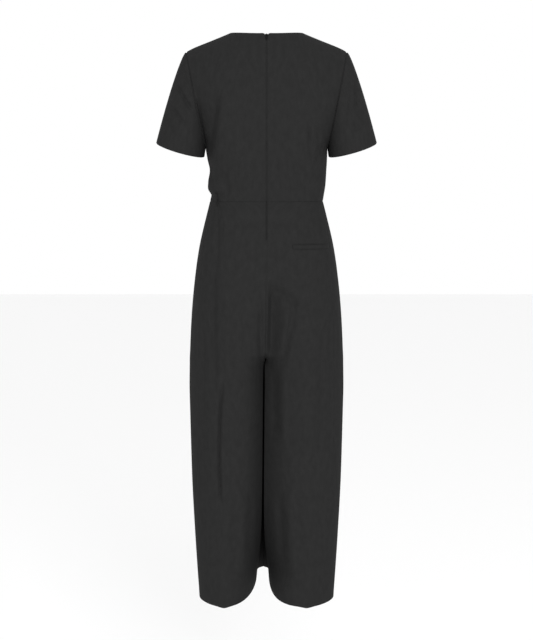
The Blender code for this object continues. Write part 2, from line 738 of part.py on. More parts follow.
def main():
    """Build every piece of the jumpsuit."""
    for old in list(bpy.data.objects):
        bpy.data.objects.remove(old)
    collection = bpy.data.collections.new("jumpsuit")
    bpy.context.scene.collection.children.link(collection)
    cloth = material("crepe_cloth", CLOTH_COLOUR, 0.9)
    tape = material("zip_tape", TAPE_COLOUR, 0.8)
    trim = material("enamelled_zip", TRIM_COLOUR, 0.4, 0.3)
    grids, normals = sewn_pieces()
    for name, grid in grids.items():
        mesh = wall_mesh(name, grid, grid - normals[name] * WALL)
        add_object(name, mesh, cloth, collection)
    add_object("pocket_welt", pocket_welt(grids, normals), cloth, collection)
    frame, row_length = slider_frame(grids)
    add_object("zip_tape", zip_tape(grids, normals, TAPE_SLOT / row_length), tape, collection)
    slider_object(frame, trim, collection)
    tab_object(frame, trim, collection)


main()
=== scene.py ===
"""Short-sleeved, wide-legged jumpsuit of black crepe, hollow as if worn.

The cloth follows the same sections as its solids, on finer grids. Every cut
piece is a thin shell whose seams sink into a groove, whose free edges are
turned and whose folds are soft ridges and troughs.
"""
import json
import math

import bmesh
import bpy
import numpy as np
from mathutils import Matrix, Vector, kdtree


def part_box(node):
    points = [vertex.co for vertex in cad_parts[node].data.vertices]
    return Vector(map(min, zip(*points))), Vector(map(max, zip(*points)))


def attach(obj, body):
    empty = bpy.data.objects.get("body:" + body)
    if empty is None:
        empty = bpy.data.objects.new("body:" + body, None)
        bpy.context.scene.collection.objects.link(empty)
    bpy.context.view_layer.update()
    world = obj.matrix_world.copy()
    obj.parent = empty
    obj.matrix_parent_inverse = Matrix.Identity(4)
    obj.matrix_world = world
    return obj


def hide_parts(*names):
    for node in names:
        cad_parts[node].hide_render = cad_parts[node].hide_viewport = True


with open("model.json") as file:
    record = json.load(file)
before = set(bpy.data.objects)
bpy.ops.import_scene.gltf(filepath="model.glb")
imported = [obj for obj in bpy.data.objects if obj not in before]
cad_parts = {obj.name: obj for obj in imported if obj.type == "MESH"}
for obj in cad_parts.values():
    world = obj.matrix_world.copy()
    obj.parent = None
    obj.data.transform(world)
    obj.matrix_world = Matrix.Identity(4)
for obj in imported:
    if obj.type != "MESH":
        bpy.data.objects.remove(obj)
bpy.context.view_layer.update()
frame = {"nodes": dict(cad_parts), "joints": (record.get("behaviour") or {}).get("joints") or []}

MM = 0.001

# ---- sizes

CLOTH = 1.1 * MM
WAIST_Z = -390 * MM
CROTCH_Z = -766 * MM
HEM_Z = -1354 * MM

NECK_X = 86 * MM
NECK_DEPTH = {"back": 62 * MM, "front": 89 * MM}
NECK_CROWN = {"back": 32.5 * MM, "front": 0.0}
# The neck's share of a bodice row's points, from the middle out
NECK_SHARE = 5 / 11
# How far the notch above the zip opens, how deep it is and how far it reaches
NOTCH = (6 * MM, 11 * MM, 16 * MM)
SHOULDER_TIP = (188 * MM, -43 * MM)
SHOULDER_ROUND = 4 * MM
UNDERARM = (144 * MM, -266 * MM)
ARMHOLE_DEPTH = 58 * MM
ARMHOLE_LEAN = 0.9

CUFF_OUTER = (261 * MM, -253 * MM)
CUFF_INNER = (147 * MM, -286 * MM)
CUFF_DEPTH = 57 * MM
CUFF_DROOP = 9 * MM
CAP_RISE = 16 * MM
CAP_START = 0.45
SLEEVE_FULLNESS = 4 * MM

# How each leg turns in from its back: how level it starts, and how slanted and
# how upright it ends where the legs meet, as shares of its reach and depth.
# It starts this far around the crotch and ends this far above the hem.
INNER_THIGH = {1: np.array([0.66, 0.20, 0.50]), -1: np.array([0.52, 0.28, 0.42])}
THIGH_START = 30 * MM
THIGH_END = 90 * MM
# Where the legs touch: its depth, and how the back curves into it
CONTACT = 12 * MM
CLEFT_ARMS = (0.7, 0.85)
# How far the inseam moves forward down to the hem, and the X it stays inside
INSEAM_FORWARD = 60 * MM
INSEAM_X = 60 * MM
# How far the legs part at the crotch and at the hem, from how far above the
# crotch and out to which X, and how much more they part towards the back
LEG_PARTING = (2 * MM, 7 * MM)
PARTING_START = 120 * MM
PARTING_X = 165 * MM
PARTING_SLANT = 0.12
SLANT_MOST = 4 * MM
SLANT_START = 12 * MM
# The hems: the right one is rounder inside, both rise towards the front, from
# one Y over a depth and out to an X, and the pressed crease ends in a low point
# of the back, with its X, half width and drop
RIGHT_HEM_FULLER = 0.16
FULLER_START = 200 * MM
FRONT_HEM_LIFT = 28 * MM
LIFT_START = 150 * MM
LIFT_Y = (106 * MM, 172 * MM)
LIFT_X = 200 * MM
HEM_POINT = (99 * MM, 13 * MM, 3 * MM)
HEM_POINT_Y = 60 * MM
HEM_TURN = 30 * MM

# The band round the pocket in which the cloth's rows lie closer together
POCKET_Z = (-483 * MM, -505 * MM)
# The welt stands this proud, but less by its edges, and clears the cloth
WELT_X = (-60 * MM, -144.5 * MM)
WELT_TOP_Z = -488.4 * MM
WELT_TILT = -1.2 * MM
WELT_HEIGHT = 9.4 * MM
WELT_ROUND = 2.2 * MM
WELT_PROUD = 1.5 * MM
WELT_EDGE = 0.35
WELT_GAP = 0.1 * MM

ZIP_FOOT_Z = -478 * MM
TAPE_REACH = (0.3 * MM, 12 * MM)
TAPE_DEPTH = 2.6 * MM
TAPE_THICK = 0.5 * MM
# How far the tapes end below the neck, how far above the zip's foot the teeth
# start and how much of its length they leave free in all
TAPE_TOP = 2 * MM
COIL_FOOT = 8 * MM
COIL_ENDS = 22 * MM
COIL_PITCH = 2.0 * MM
COIL_HALF = (1.4 * MM, 0.8 * MM)
COIL_X = 0.9 * MM
COIL_WIRE = 0.32 * MM
COIL_DEPTH = 4.0 * MM
# The tab's length, and half of its outline and of its eye, in millimetres
TAB_LENGTH = 13.4
TAB = ((1.5, -0.5), (2.2, 0.3), (2.4, 3.0), (2.7, 5.5), (2.5, 8.0), (1.9, 10.5), (1.1, 12.3),
       (0, 12.9))
TAB_EYE = ((0, 0.5), (0.95, 0.8), (1.0, 2.2), (0.85, 3.3), (0, 3.6))
TAB_FLAT = 0.3 * MM
TAB_ROUND = 0.2 * MM


def table(names, rows):
    """Columns of a short table, in metres but for the fullnesses, by name."""
    columns = {}
    for index, name in enumerate(names.split()):
        values = np.array([row[index] for row in rows], dtype=float)
        columns[name] = values if name.endswith("full") else values * MM
    return columns


BODICE = table(
    "z left right back back_x mid_back front front_x mid_front side_full", (
        (-154.5, 166, 166, 104, 40, 103, -102, 44, -101, 0.58),
        (-210, 150, 150, 106, 46, 104, -115, 52, -113, 0.60),
        (-266, 144, 144, 102, 50, 100, -119, 56, -116, 0.62),
        (-293, 139.5, 143.3, 98, 50, 96, -115, 55, -112, 0.62),
        (-317, 134.5, 142, 94, 48, 92, -109, 53, -107, 0.62),
        (-345, 138.5, 140.5, 90, 46, 88, -102, 50, -100, 0.62),
        (-364, 138, 139, 88, 45, 86, -98, 47, -97, 0.62),
        (-376, 131, 138, 87, 44, 85, -96, 46, -95, 0.62),
        (-383, 132.5, 137.5, 86.5, 44, 84.5, -95, 45, -94, 0.62),
        (-390, 134, 136.5, 86, 44, 84, -94, 45, -93, 0.62),
    ))

TROUSER = table(
    "z outer outer_y back back_x front front_x inner inner_y gap wall seam "
    "under_full belly_full side_full", (
        (-390, 134, 0, 86, 44, -94, 45, -700, -10, 0, 0, 0, 0.55, 0.55, 0.62),
        (-423, 142.5, 0, 94, 50, -98, 50, -620, -10, 0, 0, 6, 0.55, 0.55, 0.61),
        (-495, 159.5, 2, 107, 60, -104, 58, -480, -10, 0, 0, 12, 0.55, 0.55, 0.60),
        (-580, 172, 4, 115, 70, -108, 66, -280, -10, 0, 0, 18, 0.55, 0.55, 0.58),
        (-640, 178, 5, 115, 76, -110, 71, -140, -10, 0, 0, 21, 0.53, 0.55, 0.57),
        (-700, 182, 6, 112, 81, -111, 75, -72, -10, 0, 18, 23, 0.52, 0.55, 0.56),
        (-745, 184, 7, 110, 85, -112, 78, -24, -10, 0, 52, 25, 0.52, 0.58, 0.55),
        (-766, 185, 8, 109, 86, -112, 80, 0, -12, 1.2, 57, 25, 0.52, 0.60, 0.55),
        (-775, 185.1, 8.1, 108.7, 86.6, -112.3, 80.3, 0, -16, 1.4, 61, 25, 0.53, 0.60, 0.55),
        (-792, 185.4, 8.4, 108.2, 87.6, -112.8, 80.8, 0, -24, 1.8, 69, 25, 0.55, 0.60, 0.55),
        (-830, 186, 9, 107, 90, -114, 82, 0, -40, 2, 84, 26, 0.60, 0.60, 0.55),
        (-890, 185, 10, 105, 92, -116, 83, 0, -50, 2, 95, 25, 0.62, 0.62, 0.55),
        (-960, 183.5, 12, 104, 94, -118, 84, 0, -58, 2, 101, 24, 0.62, 0.64, 0.55),
        (-1070, 180.5, 16, 103, 97, -120, 84, 0, -76, 2, 114, 12, 0.62, 0.70, 0.53),
        (-1200, 174, 22, 104, 98, -123, 85, 0, -98, 4, 106, 3, 0.58, 0.78, 0.48),
        (-1354, 164.5, 30, 106, 98, -126, 86, 0, -118, 15, 58, 0, 0.49, 0.84, 0.44),
    ))


# ---- stations on a grid

def shares(middle, fine):
    """Shares from 0 to 1, as given in the middle but finer at both ends."""
    ends = np.array([0.0, 0.35, 0.8]) * fine
    middle = middle[(middle > fine * 1.2) & (middle < 1 - fine * 1.2)]
    return np.concatenate([ends, middle, 1 - ends[::-1]])


def even(count):
    """Even shares from 0 to 1."""
    return np.linspace(0, 1, count + 1)


# Closer towards the neck point, where the edge of the neck turns
NECK_TURNS = np.sin(even(32) ** 1.3 * math.pi / 2) * NECK_SHARE
BODICE_SHARES = shares(np.concatenate([NECK_TURNS, np.linspace(NECK_SHARE, 1, 29)[1:]]), 0.015)
SIDE_T = shares(even(34), 0.024)[:-1]
LOW_T = shares(even(28), 0.02)
HIGH_T = shares(even(40), 0.02)
SLEEVE_T = shares(even(50), 0.014)
BACK_SHARES = shares(even(94), 0.011)
FRONT_SHARES = shares(even(100), 0.009)
# Columns of a leg's back that lie inside its fold, and the least they cover
WALL_COLUMNS = 14
SEAM_STRIP = 5 * MM
TROUSER_Z = np.concatenate([
    WAIST_Z - np.array([0.0, 1.2, 2.6]) * MM,
    np.linspace(WAIST_Z - 5 * MM, POCKET_Z[0], 24, endpoint=False),
    np.linspace(*POCKET_Z, 22, endpoint=False),
    np.linspace(POCKET_Z[1], CROTCH_Z, 66, endpoint=False),
    np.linspace(CROTCH_Z, HEM_Z + HEM_TURN + 2 * MM, 138, endpoint=False),
    HEM_Z + HEM_TURN + np.array([1.6, 0.6, -0.6]) * MM,
    np.linspace(HEM_Z + HEM_TURN - 3 * MM, HEM_Z + 3 * MM, 8),
    HEM_Z + np.array([1.6, 0.5, 0.0]) * MM])


# ---- plain geometry

def read(columns, name, height):
    """A column's value at a height, along a smooth curve through its rows."""
    knots = columns["z"][::-1]
    values = columns[name][::-1]
    slopes = np.gradient(values, knots)
    low = int(np.clip(np.searchsorted(knots, height) - 1, 0, len(knots) - 2))
    span = knots[low + 1] - knots[low]
    t = min(max((height - knots[low]) / span, 0.0), 1.0)
    rise = values[low + 1] - values[low]
    a = slopes[low] * span - rise
    b = rise - slopes[low + 1] * span
    return values[low] + t * rise + t * (1 - t) * (a * (1 - t) + b * t)


def unit(vectors):
    """Vectors at length 1, or 0 where they have none."""
    size = np.linalg.norm(vectors, axis=-1, keepdims=True)
    return vectors / np.maximum(size, 1e-12)


def ramp(value):
    """0 to 1 with level ends, for a value that goes from 0 to 1."""
    t = np.clip(value, 0.0, 1.0)
    return t * t * (3 - 2 * t)


def arc(start, start_arm, end_arm, end, steps=120):
    """Cubic curve in plan from start to end, with an arm at each of them."""
    t = np.linspace(0, 1, steps)[:, None]
    a, d = np.array(start), np.array(end)
    b, c = a + np.array(start_arm), d + np.array(end_arm)
    return a * (1 - t) ** 3 + 3 * b * t * (1 - t) ** 2 + 3 * c * t * t * (1 - t) + d * t ** 3


def corner(flat, upright, full):
    """Quarter of a section, from its deepest point to its side or inner one."""
    across, deep = upright[0] - flat[0], flat[1] - upright[1]
    return arc(flat, (across * full, 0), (0, deep * full), upright)


def to_middle(path):
    """The part of a path before it crosses to the other half, ended there."""
    past = np.nonzero(path[:, 0] < 0)[0]
    if len(past) == 0:
        return path
    after = past[0]
    t = path[after - 1, 0] / (path[after - 1, 0] - path[after, 0])
    return np.vstack([path[:after], [path[after - 1] * (1 - t) + path[after] * t]])


def lengths(path):
    """Length along a path at each of its points."""
    return np.concatenate([[0.0], np.cumsum(np.linalg.norm(np.diff(path, axis=0), axis=1))])


def on_path(path, wanted):
    """Points of a path in plan at wanted lengths along it."""
    return np.stack([np.interp(wanted, lengths(path), path[:, k]) for k in range(2)], axis=1)


def resample(path, where, kept=0.0):
    """Points at shares of a path's length, one of them moved to a kept one."""
    wanted = where * lengths(path)[-1]
    nearest = int(np.argmin(np.abs(wanted - kept)))
    if 0 < nearest < len(wanted) - 2:
        wanted[nearest] = kept
    return on_path(path, wanted)


def resample_back(path, fold):
    """Points along a leg's back, with one column always where it folds inwards."""
    share = BACK_SHARES[-1 - WALL_COLUMNS]
    over = np.clip((BACK_SHARES - share) / (1 - share), 0, 1)
    rest = lengths(path)[-1] - fold
    return on_path(path, np.minimum(BACK_SHARES / share, 1) * fold + over * rest)


# ---- bodice

def round_arm(angle, top, low, depth, droop=0.0):
    """Point of an oval round the left arm, from its top at 0 over the back."""
    first, second = np.array(top), np.array(low)
    x, z = (first + second) / 2 + (first - second) / 2 * math.cos(angle)
    return np.array([x, depth * math.sin(angle), z - droop * math.sin(angle)])


def armhole_point(angle):
    """Point of the left armhole, at the back for angles under pi."""
    return round_arm(angle, SHOULDER_TIP, UNDERARM, ARMHOLE_DEPTH)


def bodice_section(height, facing, edge, lean):
    """Section of half a bodice from the middle out to its edge, in plan."""
    face = "back" if facing > 0 else "front"
    full = read(BODICE, "side_full", height)
    deep = (read(BODICE, face + "_x", height), facing * read(BODICE, face, height))
    middle = (0.0, facing * read(BODICE, "mid_" + face, height))
    drop = (deep[1] - edge[1]) * full
    outer = arc(deep, ((edge[0] - deep[0]) * full, 0), (-drop * lean, drop), edge)
    half = deep[0] / 2
    inner = arc(middle, (half, 0), (-half, 0), deep, 40)
    points = resample(np.vstack([inner, outer[1:]]), BODICE_SHARES)
    points[:, 1] *= facing
    return points


def crest(share, face):
    """X and Z of the line over the shoulder, carried on inwards past the neck."""
    if share < NECK_SHARE:
        inner = share / NECK_SHARE
        return NECK_X * inner, NECK_CROWN[face] * (1 - inner ** 1.5)
    t = (share - NECK_SHARE) / (1 - NECK_SHARE)
    return (NECK_X + (SHOULDER_TIP[0] - NECK_X) * t,
            SHOULDER_TIP[1] * t + SHOULDER_ROUND * (t ** 2 - t ** 8))


def neck_cut(low, top, share, face):
    """Angle at which a column's quarter ellipse over the shoulder ends."""
    if share >= NECK_SHARE:
        return math.pi / 2
    lower, upper = 0.0, math.pi / 2
    for _ in range(30):
        angle = (lower + upper) / 2
        x = low[0] + (top[0] - low[0]) * math.sin(angle)
        y = low[1] * math.cos(angle)
        outside = math.hypot(x / NECK_X, y / NECK_DEPTH[face]) > 1
        lower, upper = (angle, upper) if outside else (lower, angle)
    return lower


def over_shoulder(low, share, face):
    """Column from the shoulder blade row to the neck edge or shoulder seam."""
    top = crest(share, face)
    angles = HIGH_T[1:] * neck_cut(low, top, share, face)
    up, back = np.sin(angles), np.cos(angles)
    return np.stack([low[0] + (top[0] - low[0]) * up, low[1] * back,
                     low[2] + (top[1] - low[2]) * up], axis=1)


def open_notch(grid):
    """Spread the back neck's middle into the notch above the zip."""
    spread, drop, reach = NOTCH
    down = from_edge(grid, "last_row")
    near = np.clip(1 - grid[..., 0] / reach, 0, 1) ** 2
    grid[..., 0] += spread * near * np.clip(1 - down / drop, 0, 1) ** 1.3


def bodice_half(facing, side):
    """Grid of half a bodice, rows from waist to top and columns from the middle."""
    rows = []
    blade_z = BODICE["z"][0]
    edge_name = "left" if side > 0 else "right"
    for t in SIDE_T:
        height = WAIST_Z + (UNDERARM[1] - WAIST_Z) * t
        edge = (read(BODICE, edge_name, height), 0.0)
        rows.append([(x, y, height) for x, y in bodice_section(height, facing, edge, 0)])
    for t in LOW_T:
        height = UNDERARM[1] + (blade_z - UNDERARM[1]) * t
        edge = armhole_point(math.pi - t * math.pi / 2)
        section = bodice_section(height, facing, edge[:2], ARMHOLE_LEAN * t)
        rows.append([(x, y, height + (edge[2] - height) * s * s)
                     for (x, y), s in zip(section, BODICE_SHARES)])
    face = "back" if facing > 0 else "front"
    lower = np.array(rows)
    upper = np.stack([over_shoulder(low, share, face)
                      for low, share in zip(lower[-1], BODICE_SHARES)], axis=1)
    grid = np.concatenate([lower, upper])
    if facing > 0:
        open_notch(grid)
    grid[..., 0] *= side
    return grid


def sleeve_grid(side):
    """Grid of a sleeve, rows from the armhole to the hem, columns round it."""
    # From the underarm over the back to the shoulder, and round the front
    back = np.concatenate([math.pi - LOW_T * math.pi / 2, (1 - HIGH_T[1:]) * math.pi / 2])
    angles = np.concatenate([back, -back[-2::-1]])
    run = np.array(CUFF_OUTER) - np.array(SHOULDER_TIP)
    outward = unit(np.array([-run[1], 0.0, run[0]]))
    starts = np.array([armhole_point(angle) for angle in angles])
    ends = np.array([round_arm(angle, CUFF_OUTER, CUFF_INNER, CUFF_DEPTH, CUFF_DROOP)
                     for angle in angles])
    rows = []
    for s in SLEEVE_T:
        cap = CAP_RISE * s ** CAP_START * (1 - s) * np.maximum(np.cos(angles), 0.0)
        full = SLEEVE_FULLNESS * math.sin(math.pi * s) * np.sin(angles)
        row = starts + (ends - starts) * s + cap[:, None] * outward
        row[:, 1] += full
        rows.append(row)
    grid = np.array(rows)
    grid[..., 0] *= side
    return grid


# ---- trousers

def above_hem(height, run):
    """0 from so far above the hem, rising to 1 on it."""
    return ramp((HEM_Z + run - height) / run)


def trouser_plan(height, half):
    """Back and front of one half in plan, from the side seam inwards.

    Also says where the front touches the other leg and the back folds inwards.
    """
    def at(name):
        return read(TROUSER, name, height)

    outer = (at("outer"), at("outer_y"))
    back, front = (at("back_x"), at("back")), (at("front_x"), at("front"))
    side = corner(back, outer, at("side_full"))[::-1]
    fore = corner(front, outer, at("side_full"))[::-1]
    side_seam = outer[0] - at("seam")
    seam = int(np.argmin(np.abs(side[:, 0] - side_seam)))
    inner = (min(at("inner"), 0.0), at("inner_y"))
    gap, wall = max(at("gap"), 0.0), max(at("wall"), 0.0)
    open_point = (inner[0] + gap, inner[1] + wall)
    contact = min(CONTACT, wall / 2)
    below = ramp((CROTCH_Z + THIGH_START - height) / (2 * THIGH_START))
    below *= ramp((height - HEM_Z) / THIGH_END)
    reach, deep = back[0] - open_point[0], back[1] - open_point[1]
    # Above the crotch both halves share one shape, and each has its own below
    apart = 0.5 + 0.5 * ramp((CROTCH_Z - height) / THIGH_START)
    start_share, lean, rise = INNER_THIGH[half] * apart + INNER_THIGH[-half] * (1 - apart)
    full = at("under_full")
    if half < 0:
        full += RIGHT_HEM_FULLER * above_hem(height, FULLER_START)
    start_arm = -reach * (full + (start_share - full) * below)
    end_arm = (reach * lean * below, deep * (full + (rise - full) * below))
    under = to_middle(arc(back, (start_arm, 0), end_arm, open_point))
    belly = to_middle(corner(front, inner, at("belly_full")))
    back_path = np.vstack([side[seam:], under[1:]])
    front_path = np.vstack([side[:seam + 1][::-1], fore[1:], belly[1:]])
    fold = lengths(back_path)[-1]
    if height > CROTCH_Z + 1e-6:
        return back_path, front_path, 0.0, fold - SEAM_STRIP
    down, across = CLEFT_ARMS
    closing = arc(open_point, (0, -wall * down), (gap * across, contact / 3),
                  (inner[0], inner[1] + contact), 24)
    back_path = np.vstack([back_path, closing[1:], [inner]])
    touch = lengths(front_path)[-1]
    crotch_y = read(TROUSER, "inner_y", CROTCH_Z)
    forward = INSEAM_FORWARD * (CROTCH_Z - height) / (CROTCH_Z - HEM_Z)
    back_path, front_path = move_inseam(back_path, front_path, crotch_y - forward)
    return back_path, front_path, touch, min(fold, lengths(back_path)[-1] - SEAM_STRIP)


def move_inseam(back, front, depth):
    """Hand the part of the back that lies past the inseam to the front."""
    past = np.nonzero((back[:, 1] < depth) & (back[:, 0] < INSEAM_X))[0]
    if len(past) == 0:
        return back, front
    cut = past[0]
    t = (depth - back[cut - 1, 1]) / (back[cut, 1] - back[cut - 1, 1])
    seam = back[cut - 1] * (1 - t) + back[cut] * t
    return np.vstack([back[:cut], [seam]]), np.vstack([front, back[cut:-1][::-1], [seam]])


def settle(points, z, side):
    """Mirror points to their side, part the legs and lift the front hem."""
    x, y = points[:, 0], points[:, 1]
    parting = np.interp((CROTCH_Z - z) / (CROTCH_Z - HEM_Z), (0, 1), LEG_PARTING)
    parting *= ramp((CROTCH_Z + PARTING_START - z) / PARTING_START)
    fade = np.maximum(1 - x / PARTING_X, 0.0)
    slant = PARTING_SLANT * (y - read(TROUSER, "inner_y", z))
    slant = np.clip(slant, -SLANT_MOST, SLANT_MOST)
    slant *= fade ** 3 * ramp((CROTCH_Z - z) / SLANT_START)
    low = above_hem(z, LIFT_START)
    forward = np.clip((LIFT_Y[0] - y) / LIFT_Y[1], 0.0, 1.0)
    lift = FRONT_HEM_LIFT * low * forward ** 1.8 * (1 - x / LIFT_X)
    crease, reach, drop = HEM_POINT
    rear = ramp(y / HEM_POINT_Y)
    lift -= drop * np.exp(-((x - crease) / reach) ** 2) * low ** 3 * rear
    return np.stack([side * x + parting * fade + slant, y, z + lift], axis=1)


def trouser_grids(side):
    """Back and front grids of half the trousers, rows from waist to hem."""
    backs, fronts = [], []
    for z in TROUSER_Z:
        back, front, touch, fold = trouser_plan(z, side)
        backs.append(settle(resample_back(back, fold), z, side))
        fronts.append(settle(resample(front, FRONT_SHARES, touch), z, side))
    return np.array(backs), np.array(fronts)


# ---- sewing the pieces

def outward_normals(grid):
    """Unit normals of a grid's points, away from the middles of its rows."""
    normals = unit(np.cross(np.gradient(grid, axis=1), np.gradient(grid, axis=0)))
    from_middle = grid - grid.mean(axis=1, keepdims=True)
    return normals if np.sum(normals * from_middle) > 0 else -normals


def share_normals(grids, normals, reach=0.4 * MM):
    """Give points that meet on a seam one common thickness direction.

    A piece that faces away adds nothing to it. Also returns the directions to
    lift points in, which are common to all that meet, also across a cleft.
    """
    rim = [(name, r, c) for name, grid in grids.items() for r, c in np.ndindex(grid.shape[:2])
           if r in (0, grid.shape[0] - 1) or c in (0, grid.shape[1] - 1)]
    tree = kdtree.KDTree(len(rim))
    for index, (name, r, c) in enumerate(rim):
        tree.insert(Vector(grids[name][r, c]), index)
    tree.balance()
    shared, lifted = {}, {}
    for name, r, c in rim:
        own = normals[name][r, c]
        total, plain_sum = own.copy(), own.copy()
        for _, index, _ in tree.find_range(Vector(grids[name][r, c]), reach):
            other_name, *spot = rim[index]
            if (other_name, *spot) != (name, r, c):
                other = normals[other_name][tuple(spot)]
                total += other * min(max((float(own @ other) + 0.3) / 0.6, 0.0), 1.0)
                plain_sum += other
        shared[name, r, c] = unit(total)
        lifted[name, r, c] = plain_sum / max(np.linalg.norm(plain_sum), 0.8)
    lifts = {name: normal.copy() for name, normal in normals.items()}
    for (name, r, c), normal in shared.items():
        normals[name][r, c] = normal
        lifts[name][r, c] = lifted[name, r, c]
    return lifts


def meet_waist(grid, line, reach=40 * MM):
    """Move a bodice's lowest points onto the trousers' top line."""
    starts, spans = line[:-1], line[1:] - line[:-1]
    shift = np.zeros_like(grid[0])
    for k, point in enumerate(grid[0]):
        t = np.sum((point - starts) * spans, axis=1) / np.maximum(np.sum(spans ** 2, axis=1), 1e-12)
        near = starts + spans * np.clip(t, 0, 1)[:, None]
        shift[k] = near[np.argmin(np.linalg.norm(near - point, axis=1))] - point
    for end in (0, -1):
        away = np.linalg.norm(line - grid[0][end], axis=1)
        shift[end] = line[np.argmin(away)] - grid[0][end]
    weight = 1 - ramp((grid[..., 2] - WAIST_Z) / reach)
    grid += shift[None] * weight[..., None]


def from_edge(grid, edge):
    """Distance of every point from an edge of its grid, along the grid."""
    axis = 0 if edge.endswith("row") else 1
    steps = np.linalg.norm(np.diff(grid, axis=axis), axis=2)
    along = np.concatenate([np.zeros_like(np.take(steps, [0], axis)), np.cumsum(steps, axis)], axis)
    return along if edge.startswith("first") else np.take(along, [-1], axis) - along


# Creases and soft folds of the back, in millimetres. A row runs from one
# point to another in X and Z, bowed sideways in the middle, with its half width
# on the side of lower X and on the other, and how far it rises.
BACK_FOLDS = (
    # Left side of the bodice, from the armhole to the waist
    (105, -145, 129, -300, 0, 4, 8, -3.5),
    (96, -150, 112, -290, 0, 12, 6, 3),
    (128, -296, 120, -372, 3, 7, 8, -8),
    (104, -310, 86, -380, 0, 9, 8, -6),
    (76, -326, 64, -384, 0, 8, 8, -3.5),
    # Right side of the bodice
    (-98, -200, -103, -312, 0, 4.5, 5, -5),
    (-104, -314, -131, -262, 0, 4, 4.5, -5),
    (-118, -222, -122, -262, 0, 6, 6, -3),
    (-74, -318, -64, -384, 0, 9, 9, -4),
    # Shoulder blades and the middle of the back
    (60, -50, 18, -120, 0, 14, 14, -3.5),
    (-44, -60, -74, -150, 0, 16, 16, -4),
    (42, -190, 50, -300, 0, 14, 14, -4),
    (-40, -220, -30, -340, 0, 14, 14, -4),
    (-80, -120, -88, -190, 0, 10, 12, -3),
    # Knot of cloth at the left end of the waist seam
    (115, -362, 113, -406, 0, 4, 4, -10),
    (108, -372, 90, -384, 0, 4, 4, -2.2),
    (108, -404, 88, -396, 0, 4, 4, -2.2),
    (115, -394, 114, -560, -3, 4, 5, -3.6),
    (102, -396, 100, -540, -4, 6, 5, 2.4),
    (122, -400, 128, -520, 0, 6, 5, 2),
    # Right edge of the closed zip, which catches the light
    (-6, -30, -6, -470, 0, 2.6, 2.6, 0.7),
    # Mouth of the pocket, over its welt, and the seam under it
    (-57, -487.2, -147.5, -488.4, 0, 1.3, 1.3, -1.6),
    (-57, -499.0, -147.5, -500.2, 0, 1.4, 1.4, -1.2),
    # Left leg, with its pressed crease
    (119, -500, 119, -850, 2, 8, 10, -9),
    (94, -560, 92, -800, 0, 12, 8, 5),
    (99, -775, 105, -1140, 9, 3.4, 4.5, -5.5),
    (91, -775, 97, -1140, 9, 8, 5, 3),
    (146, -640, 150, -1060, 0, 9, 9, -6),
    (70, -1080, 76, -1310, 0, 18, 18, -6),
    (120, -1120, 122, -1300, 0, 14, 14, -4),
    # Seat and the inner thighs
    (-14, -560, -11, -790, 0, 24, 9, -18),
    (14, -604, 13, -790, 0, 6, 6, -5.5),
    (-38, -770, -42, -980, 0, 9, 12, 4),
    (-20, -590, -76, -632, 0, 12, 10, -6),
    (-66, -600, -30, -780, -6, 9, 8, -6),
    (-17, -772, -22, -960, 0, 10, 9, -4),
    (-30, -1070, -44, -1290, 0, 12, 12, -8),
    (34, -1060, 44, -1270, 0, 12, 12, -6),
    # Right leg
    (-97, -690, -97, -1040, 0, 20, 20, 5),
    (-128, -680, -126, -1010, 0, 8, 9, -5),
    (-150, -540, -146, -880, 0, 8, 8, -4),
    (-76, -1060, -84, -1310, 0, 20, 18, -6),
    (-122, -1090, -124, -1290, 0, 14, 14, -4),
    # Sleeves
    (218, -96, 168, -186, 3, 4.5, 6, -7),
    (238, -138, 186, -216, 3, 4.5, 6, -6),
    (244, -190, 204, -246, 3, 6, 6, -4.5),
    (196, -72, 184, -126, 0, 6, 6, -4.5),
    (-205, -92, -207, -192, 0, 4, 5, -5.5),
    (-228, -166, -196, -238, 0, 8, 8, -5),
    (-190, -120, -182, -190, 0, 6, 6, -3.5),
)

# The same for the front
FRONT_FOLDS = (
    # Sleeves
    (-206, -110, -190, -190, 0, 5, 6, -3),
    (-232, -160, -200, -220, 0, 6, 6, -2.6),
    (208, -105, 190, -185, 0, 5, 6, -3),
    (230, -160, 204, -225, 0, 6, 6, -2.6),
    # Bodice and waist, gathered towards the knot
    (122, -386, 40, -300, 6, 9, 7, 6),
    (122, -374, 72, -262, 5, 8, 7, 6),
    (120, -384, 0, -345, 6, 8, 8, 5),
    (122, -402, 60, -520, -6, 9, 8, 5),
    (118, -398, 10, -450, -6, 9, 8, 4),
    (-104, -200, -108, -300, 0, 7, 7, -4),
    (-60, -110, -84, -190, 0, 16, 16, -3),
    (60, -110, 88, -185, 0, 16, 16, -3),
    # Legs
    (6, -660, 60, -600, 5, 9, 9, -4.5),
    (-2, -680, -64, -628, -5, 9, 9, -4.5),
    (14, -740, 66, -700, 4, 8, 8, -3.5),
    (-12, -740, -60, -704, -4, 8, 8, -3.5),
    (92, -800, 100, -1140, 6, 5, 6, -4),
    (-84, -780, -92, -1120, -6, 5, 6, -4),
    (132, -640, 136, -900, 0, 12, 12, -4),
    (-134, -620, -138, -900, 0, 12, 12, -4),
)

# A fold fades over this share of its length at both ends, down to how little,
# and where the cloth turns away from its side
FOLD_FADE = 0.3
FOLD_LEAST = 0.1
FOLD_FACING = 0.35

# Places where the back of the cloth falls away towards its side past an edge,
# in millimetres: the edge's ends in X and Z, how wide the fall is and how deep
FALLS = (
    (96, -112, 131, -345, 12, 18),
    (112, -500, 114, -830, 26, 8),
    (134, -760, 134, -1100, 26, 7),
    (-134, -700, -136, -1020, 26, 10),
    (-104, -250, -122, -330, 22, 7),
)
# A fall starts softly, fades like a fold, and dies out before a sleeve's seam
FALL_EDGE = 0.14
FALL_FADE = 0.35
FALL_FACING = 0.4
SEWN_STRIP = 10 * MM


